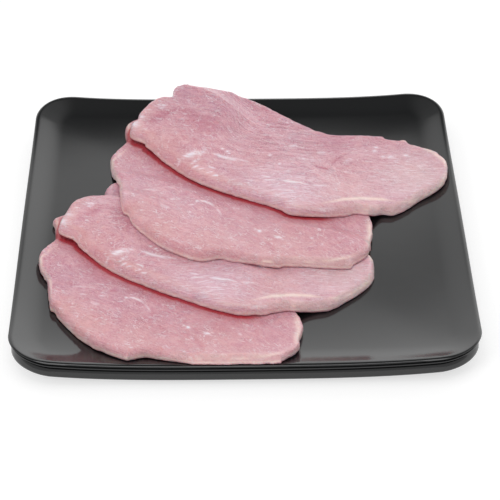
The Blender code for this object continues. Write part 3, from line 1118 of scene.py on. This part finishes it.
@dataclass(frozen=True)
class BlackMelamine:
    """Moulded black melamine: a hard resin pressed in a polished mould.

    The polish gives the eye soft clear reflections, faint waves bend them a little, and
    specks of filler keep the black from looking painted. The real specks are finer than a
    tenth of a millimetre and are drawn coarser, so that they show.

    Attributes:
        colour: The resin.
        speck: The specks in it.
        smoothest: The least roughness.
        dullest: The most, on the specks.
        index: The resin's IOR.
        wave_mm: Size of the waves.
        wave_depth_mm: Depth of the waves.
        speck_mm: Size of the specks.
    """

    colour: str = "#101112"
    speck: str = "#151617"
    smoothest: float = 0.09
    dullest: float = 0.14
    index: float = 1.6
    wave_mm: float = 18.0
    wave_depth_mm: float = 0.05
    speck_mm: float = 0.5

    def material(self) -> bpy.types.Material:
        """Make the finish.

        Returns:
            The material.
        """
        finish = bare_finish("moulded_black_melamine")
        tree = finish.node_tree
        place = add_node(tree, "ShaderNodeTexCoord").outputs["Object"]
        waves = add_node(tree, "ShaderNodeTexNoise",
                         {"Vector": place, "Scale": 1 / (self.wave_mm * MM)})
        specks = add_node(tree, "ShaderNodeTexNoise",
                          {"Vector": place, "Scale": 1 / (self.speck_mm * MM), "Detail": 3.0})
        tint = add_node(tree, "ShaderNodeMix", {
            "Factor": specks.outputs["Fac"], 6: linear(self.colour), 7: linear(self.speck)},
            data_type="RGBA")
        gloss = add_node(tree, "ShaderNodeMapRange", {
            "Value": specks.outputs["Fac"], "To Min": self.smoothest, "To Max": self.dullest})
        bump = add_node(tree, "ShaderNodeBump", {
            "Strength": 0.25, "Distance": self.wave_depth_mm * MM, "Height": waves.outputs["Fac"]})
        shader = add_node(tree, "ShaderNodeBsdfPrincipled", {
            "Base Color": tint.outputs[2], "Roughness": gloss.outputs["Result"], "IOR": self.index,
            "Normal": bump.outputs["Normal"]})
        add_node(tree, "ShaderNodeOutputMaterial", {"Surface": shader.outputs["BSDF"]})
        return finish


class Field(Enum):
    """What a pattern in the flesh is read on."""

    PLACE = "place"
    STRAND = "strand"
    TUFT = "tuft"


@dataclass(frozen=True)
class Pattern:
    """Noise in the flesh, spread so that it runs from nought to one.

    Attributes:
        field: What it is read on.
        size_mm: The size of its patches, across the fibres where it follows them.
        low: The noise's value that turns to nought.
        high: The value that turns to one.
        detail: How many finer layers it has.
        swirl: How much its patches are twisted.
    """

    field: Field
    size_mm: float
    low: float
    high: float
    detail: float = 2.0
    swirl: float = 0.0


# Real fibre bundles are about 0.3 mm wide and the wet grain on them about 0.2 mm. Strands,
# streaks, marbling and grit are drawn three to eight times as coarse, so that they show.
FLESH_PATTERNS: dict[str, Pattern] = {
    "blotches": Pattern(Field.PLACE, 12.0, 0.35, 0.65),
    "mottle": Pattern(Field.PLACE, 3.6, 0.32, 0.68, detail=3.0),
    "marble": Pattern(Field.TUFT, 2.4, 0.36, 0.64, detail=3.0, swirl=1.2),
    "grit": Pattern(Field.PLACE, 0.9, 0.30, 0.70),
    "strands": Pattern(Field.STRAND, 1.5, 0.36, 0.64),
    "streaks": Pattern(Field.STRAND, 1.1, 0.52, 0.64),
    "torn": Pattern(Field.STRAND, 1.5, 0.34, 0.50),
    "patches": Pattern(Field.PLACE, 6.0, 0.42, 0.60),
}


@dataclass(frozen=True)
class RawMeat:
    """Raw pale flesh, cut across a muscle with a knife and wet with its own juices.

    The wet coat gives the eye small broken highlights, light that enters the flesh makes
    its edges soft, and the cut shows pale grit, deeper marbling, fibres, white skin with
    painted glints, a cream line of fatty rind with painted highlight, a painted lilac
    sheen, and dark red juices with painted shade where slices lie on each other.

    Attributes:
        light: Grit that catches the light.
        pale: The flesh.
        pink: Its deeper blotches.
        peach: Its warmer parts.
        mauve: Its cooler parts, and the fibres' shadows.
        deep: Marbling and hollows.
        cream: Fatty rind, bright enough to serve as painted highlight on edges in shade.
        film_and_glint: White skin and threads, and painted glints.
        lilac: The painted sheen.
        juice_and_shade: Red juices, and the painted shade under rolled edges.
        strand_stretch: How much longer than wide the strands are.
        tuft_stretch: How much longer than wide the tufts are.
        thread_mm: How far winding threads are apart.
        thread_width: How far from the noise's middle value a thread reaches.
        thread_swirl: How much the threads wind.
        bump_mm: Depth of the finest relief.
        wettest: The least roughness.
        driest: The most.
        index: The flesh's IOR.
        reach_mm: How far light gets into the flesh.
        colour_reach: How far its red, green and blue get, as shares of that.
        scattered: How much of the light gets in.
        juice_index: The wet coat's IOR.
        juice_cover: How much of the flesh the wet coat covers.
        juice_gloss: The wet coat's roughness.
    """

    light: str = "#E9BFC8"
    pale: str = "#E1AEB8"
    pink: str = "#C58393"
    peach: str = "#DDA9A2"
    mauve: str = "#BA8AA0"
    deep: str = "#B85F76"
    cream: str = "#F8E2D8"
    film_and_glint: str = "#F2E4EC"
    lilac: str = "#DDBACB"
    juice_and_shade: str = "#AE2634"
    strand_stretch: float = 6.0
    tuft_stretch: float = 1 / 0.42
    thread_mm: float = 2.6
    thread_width: float = 0.035
    thread_swirl: float = 0.6
    bump_mm: float = 0.45
    wettest: float = 0.34
    driest: float = 0.52
    index: float = 1.4
    reach_mm: float = 2.0
    colour_reach: tuple[float, float, float] = (1.0, 0.35, 0.25)
    scattered: float = 0.3
    juice_index: float = 1.36
    juice_cover: float = 0.5
    juice_gloss: float = 0.12

    def patterns(self, tree: bpy.types.NodeTree) -> dict[str, Socket]:
        """Read the painted layers and make the patterns that the flesh is mixed from.

        Args:
            tree: The finish's nodes.

        Returns:
            The share of each layer and pattern, by its name.
        """
        grain = add_node(tree, "ShaderNodeAttribute", attribute_name="grain").outputs["Vector"]
        fields = {Field.PLACE: add_node(tree, "ShaderNodeTexCoord").outputs["Object"]}
        for name, stretch in ((Field.STRAND, self.strand_stretch), (Field.TUFT, self.tuft_stretch)):
            fields[name] = add_node(tree, "ShaderNodeMapping", {
                "Vector": grain, "Scale": (1 / stretch, 1.0, 1.0)}).outputs["Vector"]
        shares = {}
        for layer in Layer:
            painted = add_node(tree, "ShaderNodeAttribute", attribute_name=layer.value)
            shares[layer.value] = painted.outputs["Fac"]
        for name, pattern in FLESH_PATTERNS.items():
            raw = add_node(tree, "ShaderNodeTexNoise", {
                "Vector": fields[pattern.field], "Scale": 1 / (pattern.size_mm * MM),
                "Detail": pattern.detail, "Distortion": pattern.swirl})
            spread = add_node(tree, "ShaderNodeMapRange", {
                "Value": raw.outputs["Fac"], "From Min": pattern.low, "From Max": pattern.high})
            shares[name] = spread.outputs["Result"]
        # Threads wind where another noise passes its middle value.
        raw = add_node(tree, "ShaderNodeTexNoise", {
            "Vector": fields[Field.TUFT], "Scale": 1 / (self.thread_mm * MM), "Detail": 2.0,
            "Distortion": self.thread_swirl})
        offset = add_node(tree, "ShaderNodeMath", {0: raw.outputs["Fac"], 1: 0.5}, operation="SUBTRACT")
        away = add_node(tree, "ShaderNodeMath", {0: offset.outputs[0]}, operation="ABSOLUTE")
        thread = add_node(tree, "ShaderNodeMapRange", {
            "Value": away.outputs[0], "From Min": self.thread_width, "From Max": 0.0})
        shares["threads"] = thread.outputs["Result"]
        zone = add_node(tree, "ShaderNodeMapRange", {"Value": shares["fibre"], "To Min": 0.3})
        shares["fibre"] = zone.outputs["Result"]
        # Streaks show only where the sheen is painted, so they are painted sheen as well.
        for name, breaker in (("strands", "fibre"), ("threads", "patches"), ("streaks", "painted_sheen"),
                              ("film_and_glint", "torn")):
            broken = add_node(tree, "ShaderNodeMath", {0: shares[name], 1: shares[breaker]},
                              operation="MULTIPLY")
            shares[name] = broken.outputs[0]
        return shares

    def material(self) -> bpy.types.Material:
        """Make the finish.

        Returns:
            The material.
        """
        finish = bare_finish("raw_pale_flesh")
        tree = finish.node_tree
        shares = self.patterns(tree)
        colour = add_node(tree, "ShaderNodeMix", {
            "Factor": shares["blotches"], 6: linear(self.pale), 7: linear(self.pink)},
            data_type="RGBA").outputs[2]
        # Each colour is laid over the ones before it, as strongly as its pattern or layer says.
        # Some of these colours paint light: the cream line and strokes carry painted highlight, the
        # skin painted glints, the lilac a painted sheen, and the dark red painted shade.
        for name, strength, over in (
                ("mottle", 0.4, self.peach), ("strands", 0.45, self.mauve), ("marble", 0.62, self.deep),
                ("grit", 0.6, self.light), ("peach", 0.5, self.peach), ("mauve", 0.5, self.mauve),
                ("painted_sheen", 0.45, self.lilac), ("blush", 0.7, self.deep), ("streaks", 0.6, self.film_and_glint),
                ("threads", 0.65, self.film_and_glint), ("fat_and_highlight", 0.85, self.cream), ("film_and_glint", 1.2, self.film_and_glint),
                ("juice_and_shade", 0.95, self.juice_and_shade)):
            share = add_node(tree, "ShaderNodeMath", {0: shares[name], 1: strength},
                             operation="MULTIPLY", use_clamp=True)
            colour = add_node(tree, "ShaderNodeMix", {
                "Factor": share.outputs[0], 6: colour, 7: linear(over)}, data_type="RGBA").outputs[2]
        # Strands, threads and grit stand up in the finest relief, and marbling lies deeper.
        height = shares["mottle"]
        for name, strength in (("strands", 0.6), ("marble", -0.5), ("threads", 0.5), ("grit", 0.3)):
            height = add_node(tree, "ShaderNodeMath", {0: shares[name], 1: strength, 2: height},
                              operation="MULTIPLY_ADD").outputs[0]
        bump = add_node(tree, "ShaderNodeBump", {
            "Strength": 0.8, "Distance": self.bump_mm * MM, "Height": height})
        wetness = add_node(tree, "ShaderNodeMapRange", {
            "Value": shares["mottle"], "To Min": self.wettest, "To Max": self.driest})
        shader = add_node(tree, "ShaderNodeBsdfPrincipled", {
            "Base Color": colour, "Roughness": wetness.outputs["Result"], "IOR": self.index,
            "Subsurface Weight": self.scattered, "Subsurface Radius": self.colour_reach,
            "Subsurface Scale": self.reach_mm * MM, "Coat Weight": self.juice_cover,
            "Coat Roughness": self.juice_gloss, "Coat IOR": self.juice_index,
            "Normal": bump.outputs["Normal"]})
        add_node(tree, "ShaderNodeOutputMaterial", {"Surface": shader.outputs["BSDF"]})
        return finish


@dataclass(frozen=True)
class PalePaper:
    """Matt pale paper under the tray, which glows a little so that the eye sees it even."""

    colour: str = "#B4B4B4"
    roughness: float = 0.9
    glow: float = 0.62

    def material(self) -> bpy.types.Material:
        """Make the finish.

        Returns:
            The material.
        """
        finish = bare_finish("pale_paper")
        tree = finish.node_tree
        shader = add_node(tree, "ShaderNodeBsdfPrincipled", {
            "Base Color": linear(self.colour), "Roughness": self.roughness,
            "Emission Color": (1, 1, 1, 1), "Emission Strength": self.glow})
        add_node(tree, "ShaderNodeOutputMaterial", {"Surface": shader.outputs["BSDF"]})
        return finish


@dataclass(frozen=True)
class Lamp:
    """A square soft lamp that faces the tray.

    Attributes:
        name: The lamp's name.
        place: Where it hangs, in metres.
        side: Its side.
        watts: Its power.
    """

    name: str
    place: tuple[float, float, float]
    side: float
    watts: float

    def hang(self) -> None:
        """Hang the lamp."""
        data = bpy.data.lights.new(self.name, "AREA")
        data.size = self.side
        data.energy = self.watts
        lamp = bpy.data.objects.new(self.name, data)
        lamp.location = self.place
        lamp.rotation_euler = (-Vector(self.place)).to_track_quat("-Z", "Y").to_euler()
        bpy.context.scene.collection.objects.link(lamp)


@dataclass(frozen=True)
class Studio:
    """The plain pale floor, the soft light and the camera at the photo's angle.

    Attributes:
        elevation: How far the camera looks down.
        yaw: How far the tray is turned against the camera.
        distance: From the camera to the middle of the rim's plane.
        focal_px: The focal length in pixels of the photo.
        photo_px: The photo's width.
        middle_px: Where the middle of the rim's plane shows in the photo.
        wall: The brightness behind the tray against the height that is looked up to.
        wall_peak: A brightness that the wall stays under.
        front: The brightness in front of the tray.
        floor_radius: How far the floor reaches.
        floor_gap: How far it is under the tray's foot, so that the two don't flicker.
        lamps: The soft lamps.
    """

    elevation: float = math.radians(37.2)
    yaw: float = math.radians(0.71)
    distance: float = 1120.7 * MM
    focal_px: float = 1883.0
    photo_px: float = 500.0
    middle_px: Point = (242.7, 220.0)
    wall: tuple[Point, ...] = ((0.0, 1.0), (0.26, 1.3), (0.45, 1.5), (0.56, 1.27), (0.60, 1.12),
                               (0.635, 0.65), (0.66, 0.3), (0.72, 0.15), (0.85, 0.12), (1.0, 0.2))
    wall_peak: float = 1.6
    front: float = 0.6
    floor_radius: float = 6.0
    floor_gap: float = 0.2 * MM
    lamps: tuple[Lamp, ...] = (Lamp("soft_lamp_over", (-0.1, -0.15, 1.1), 0.6, 2.8),
                               Lamp("soft_lamp_left", (-0.8, -0.8, 0.9), 0.5, 3.5))

    def camera(self, target: Vector) -> None:
        """Place the camera so that a target shows at its pixel.

        Args:
            target: The middle of the rim's plane.
        """
        away = Vector((-math.sin(self.yaw) * math.cos(self.elevation),
                       -math.cos(self.yaw) * math.cos(self.elevation), math.sin(self.elevation)))
        right = Vector((math.cos(self.yaw), -math.sin(self.yaw), 0))
        up = away.cross(right)
        per_px = self.distance / self.focal_px
        half = self.photo_px / 2
        aim = (target + right * ((half - self.middle_px[0]) * per_px)
               - up * ((half - self.middle_px[1]) * per_px))
        data = bpy.data.cameras.new("camera")
        data.sensor_width = 36.0
        data.lens = self.focal_px / self.photo_px * data.sensor_width
        data.clip_start, data.clip_end = 0.05, 30
        camera = bpy.data.objects.new("camera", data)
        camera.location = target + away * self.distance
        camera.rotation_euler = (aim - camera.location).to_track_quat("-Z", "Y").to_euler()
        bpy.context.scene.collection.objects.link(camera)
        bpy.context.scene.camera = camera

    def floor(self) -> None:
        """Lay the pale floor, which isn't part of the model."""
        bpy.ops.object.select_all(action="DESELECT")
        bpy.ops.mesh.primitive_circle_add(vertices=96, radius=self.floor_radius, fill_type="NGON",
                                          location=(0, 0, -self.floor_gap))
        floor = bpy.context.object
        floor.name = "floor"
        floor.data.materials.append(PalePaper().material())

    def sky(self) -> None:
        """Light the scene from a pale room: bright low down and behind, dark overhead."""
        world = bpy.data.worlds.new("pale_room")
        world.use_nodes = True
        tree = world.node_tree
        tree.nodes.clear()
        direction = add_node(tree, "ShaderNodeTexCoord").outputs["Generated"]
        parts = add_node(tree, "ShaderNodeSeparateXYZ", {"Vector": direction}).outputs
        aside = add_node(tree, "ShaderNodeMath", {0: parts["X"]}, operation="ABSOLUTE").outputs[0]
        wall = add_node(tree, "ShaderNodeValToRGB", {"Fac": parts["Z"]})
        ramp = wall.color_ramp
        ramp.elements[0].position, ramp.elements[1].position = self.wall[0][0], self.wall[-1][0]
        for position, _ in self.wall[1:-1]:
            ramp.elements.new(position)
        for element, (_, value) in zip(ramp.elements, self.wall):
            element.color = (value / self.wall_peak,) * 3 + (1,)
        values = {"wall": wall.outputs["Color"]}
        # Each value goes smoothly from start, at low, to end, at high.
        for name, source, low, high, start, end in (
                ("gleam", aside, 0.08, 0.34, 0.0, 0.32), ("high", parts["Z"], 0.62, 0.72, 0.0, 1.0),
                ("to_right", parts["X"], -0.35, 0.35, 0.85, 1.3),
                ("behind", parts["Y"], -0.3, 0.1, 0.0, 1.0)):
            values[name] = add_node(tree, "ShaderNodeMapRange", {
                "Value": source, "From Min": low, "From Max": high, "To Min": start, "To Max": end},
                interpolation_type="SMOOTHSTEP").outputs["Result"]
        # The rear wall gleams high up to either side and is brighter to the right.
        for name, operation, first, second in (
                ("rear", "MULTIPLY", "wall", self.wall_peak), ("gleam", "MULTIPLY", "gleam", "high"),
                ("rear", "ADD", "rear", "gleam"), ("rear", "MULTIPLY", "rear", "to_right"),
                ("rear", "MULTIPLY", "rear", "behind"), ("front", "SUBTRACT", 1.0, "behind"),
                ("front", "MULTIPLY", "front", self.front), ("light", "ADD", "rear", "front")):
            values[name] = add_node(tree, "ShaderNodeMath", {
                0: values.get(first, first), 1: values.get(second, second)},
                operation=operation).outputs[0]
        background = add_node(tree, "ShaderNodeBackground", {
            "Color": (1, 1, 1, 1), "Strength": values["light"]})
        add_node(tree, "ShaderNodeOutputWorld", {"Surface": background.outputs["Background"]})
        bpy.context.scene.world = world

    def build(self, target: Vector) -> None:
        """Set up the floor, the light and the camera.

        Args:
            target: The middle of the rim's plane.
        """
        self.floor()
        self.sky()
        for lamp in self.lamps:
            lamp.hang()
        self.camera(target)
        bpy.context.scene.view_settings.view_transform = "Standard"


# From the bottom of the pile to its top, because each slice lies on the ones before it.
SLICES = (
    MeatSlice(
        name="front_tapered_slice",
        node="slice_front_lower",
        controls=(
            (-112, 3), (-97, 14), (-75, 19), (-34, -8), (-5, -36), (30, -85), (30, -110),
            (29, -117.5), (20, -128), (15, -130), (-23, -130), (-32, -129), (-54, -122), (-62, -124.5),
            (-67, -124), (-89, -107), (-102, -89.5), (-107, -80.5), (-110, -76.5), (-113, -54.5),
            (-115, -50.5), (-118, -43), (-119, -33), (-116, -25.5), (-111, -16.5), (-112, -2.5),
        ),
        sight=FRONT_PAIR,
        marks=TAPERED_MARKS,
        swells=(Bump(-60, -70, 40, 0.8), Bump(-5, -95, 25, -0.8), Bump(-32, -16, 17, -3.0),
                Bump(-8, -40, 17, -3.0), Bump(16, -72, 17, -3.0)),
        edges=((Edge.UPRIGHT, Bump(30, -108, 18, 1.5)), (Edge.SLANTED, Bump(5, -130, 18, 1.5))),
    ),
    MeatSlice(
        name="front_wide_slice",
        node="slice_front_upper",
        controls=(
            (-108, -16), (-105, 3), (-97, 19.5), (-84, 21.5), (-84, 33), (-81, 41), (-73, 44),
            (-50, 37), (-30, 23), (-13, 8), (7, -7), (22, -7), (37, -9.5), (46.5, -14.2), (53, -15.8),
            (62, -23), (68, -26.5), (76, -37.5), (72, -57.5), (50, -77.5), (37, -81), (29, -84),
            (22, -83.5), (8, -87), (-13, -85), (-66, -57.5), (-93, -32), (-98, -24),
        ),
        sight=FRONT_PAIR,
        marks=WIDE_MARKS,
        swells=(Bump(-20, -40, 45, 0.8), Bump(-62, 38, 15, -2.6), Bump(-32, 20, 16, -3.0),
                Bump(-3, -1, 16, -3.0), Bump(28, -12, 15, -2.6)),
        stand_offs=(Bump(-98, -14, 13, 2.5),),
        edges=((Edge.ROLLED, Bump(-93, -31, 18, 2.0)), (Edge.ROLLED, Bump(-60, -62, 24, 2.0)),
               (Edge.ROLLED, Bump(-8, -86, 18, 1.2)), (Edge.SLANTED, Bump(32, -84, 14, 2.0)),
               (Edge.SLANTED, Bump(60, -68, 14, 1.0))),
    ),
    MeatSlice(
        name="back_tapered_slice",
        node="slice_back_lower",
        controls=(
            (-72.5, 101), (-56, 112), (-33, 123.5), (0, 104), (54, 32), (63, 20), (73, 10), (77, 0.5),
            (77, -11.5), (75, -23.5), (73, -36), (64, -45.5), (58, -49), (26, -46.5), (18, -48.5),
            (-4, -46), (-15, -43.5), (-24, -46.5), (-35, -43), (-50, -32), (-64, -14.5), (-68, -5),
            (-72, 1), (-75, 34.5), (-77, 40.5), (-82, 62), (-80, 72), (-73, 84),
        ),
        sight=BACK_PAIR,
        marks=TAPERED_MARKS,
        swells=(Bump(-35, 110, 30, 1.2), Bump(-30, 0, 35, 0.6), Bump(40, -15, 25, -0.8),
                Bump(6, 94, 17, -3.0), Bump(28, 64, 17, -3.0), Bump(50, 34, 17, -3.0)),
        stand_offs=(Bump(-35, 125, 30, 1.0),),
        edges=((Edge.UPRIGHT, Bump(77, -11, 18, 1.5)), (Edge.SLANTED, Bump(50, -48, 18, 1.5))),
    ),
    MeatSlice(
        name="back_wide_slice",
        node="slice_back_upper",
        controls=(
            (-69, 82), (-69.5, 91.5), (-67, 95), (-65.5, 99), (-65, 102), (-62, 106), (-57.5, 112),
            (-50, 116), (-44.5, 115.5), (-43.5, 120), (-41.5, 125.5), (-35, 129.5), (-18, 130.5),
            (-5, 129), (0, 126), (16, 119), (46, 95.8), (54, 90.6), (61, 89), (87, 87),
            (92, 83.5), (98, 81.6), (104, 80.8), (107, 76.5), (119.5, 67), (126, 56), (127.5, 48),
            (125.5, 39), (121, 31), (108, 21.5), (93, 9.5), (84, 9), (76, 3), (68, 4), (53, 1.5),
            (30, 3.5), (18, 12), (-26, 35), (-57, 68.5), (-60, 73.5),
        ),
        sight=BACK_PAIR,
        marks=WIDE_MARKS,
        swells=(Bump(-35, 120, 28, 0.8), Bump(30, 50, 60, 0.8)),
        stand_offs=(Bump(-35, 128, 26, 2.6), Bump(-62, 74, 13, 2.0)),
        edges=((Edge.ROLLED, Bump(-55, 64, 18, 2.0)), (Edge.ROLLED, Bump(-20, 30, 24, 2.0)),
               (Edge.ROLLED, Bump(30, 4, 18, 1.2)), (Edge.SLANTED, Bump(80, 6, 14, 2.0)),
               (Edge.SLANTED, Bump(108, 22, 14, 1.0))),
    ),
)


def set_in_frame(piece: bpy.types.Object, node: str, finish: bpy.types.Material) -> None:
    """Give a piece its finish and its place in the frame.

    Args:
        piece: The finished piece.
        node: The CAD node that it stands for.
        finish: The piece's material.
    """
    piece.data.materials.clear()
    piece.data.materials.append(finish)
    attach(piece, BODY)
    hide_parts(node)
    LOG.info("%s: %d faces, stands for %s", piece.name, len(piece.data.polygons), node)


def main() -> None:
    """Build the pieces in order around the frame."""
    logging.basicConfig(level=logging.INFO, format="%(name)s: %(message)s")
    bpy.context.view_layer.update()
    LOG.info("frame with %d nodes", len(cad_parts))
    tray = Tray()
    Studio().build(Vector((0, 0, tray.rim)))
    tray.dress(tray.build())
    flesh = RawMeat().material()
    ground = Ground()
    ground.take_tray(tray)
    for cut, above in zip(SLICES, SLICES[1:] + (None,)):
        cut.dress(cut.build(ground, above), flesh)


if __name__ == "__main__":
    main()
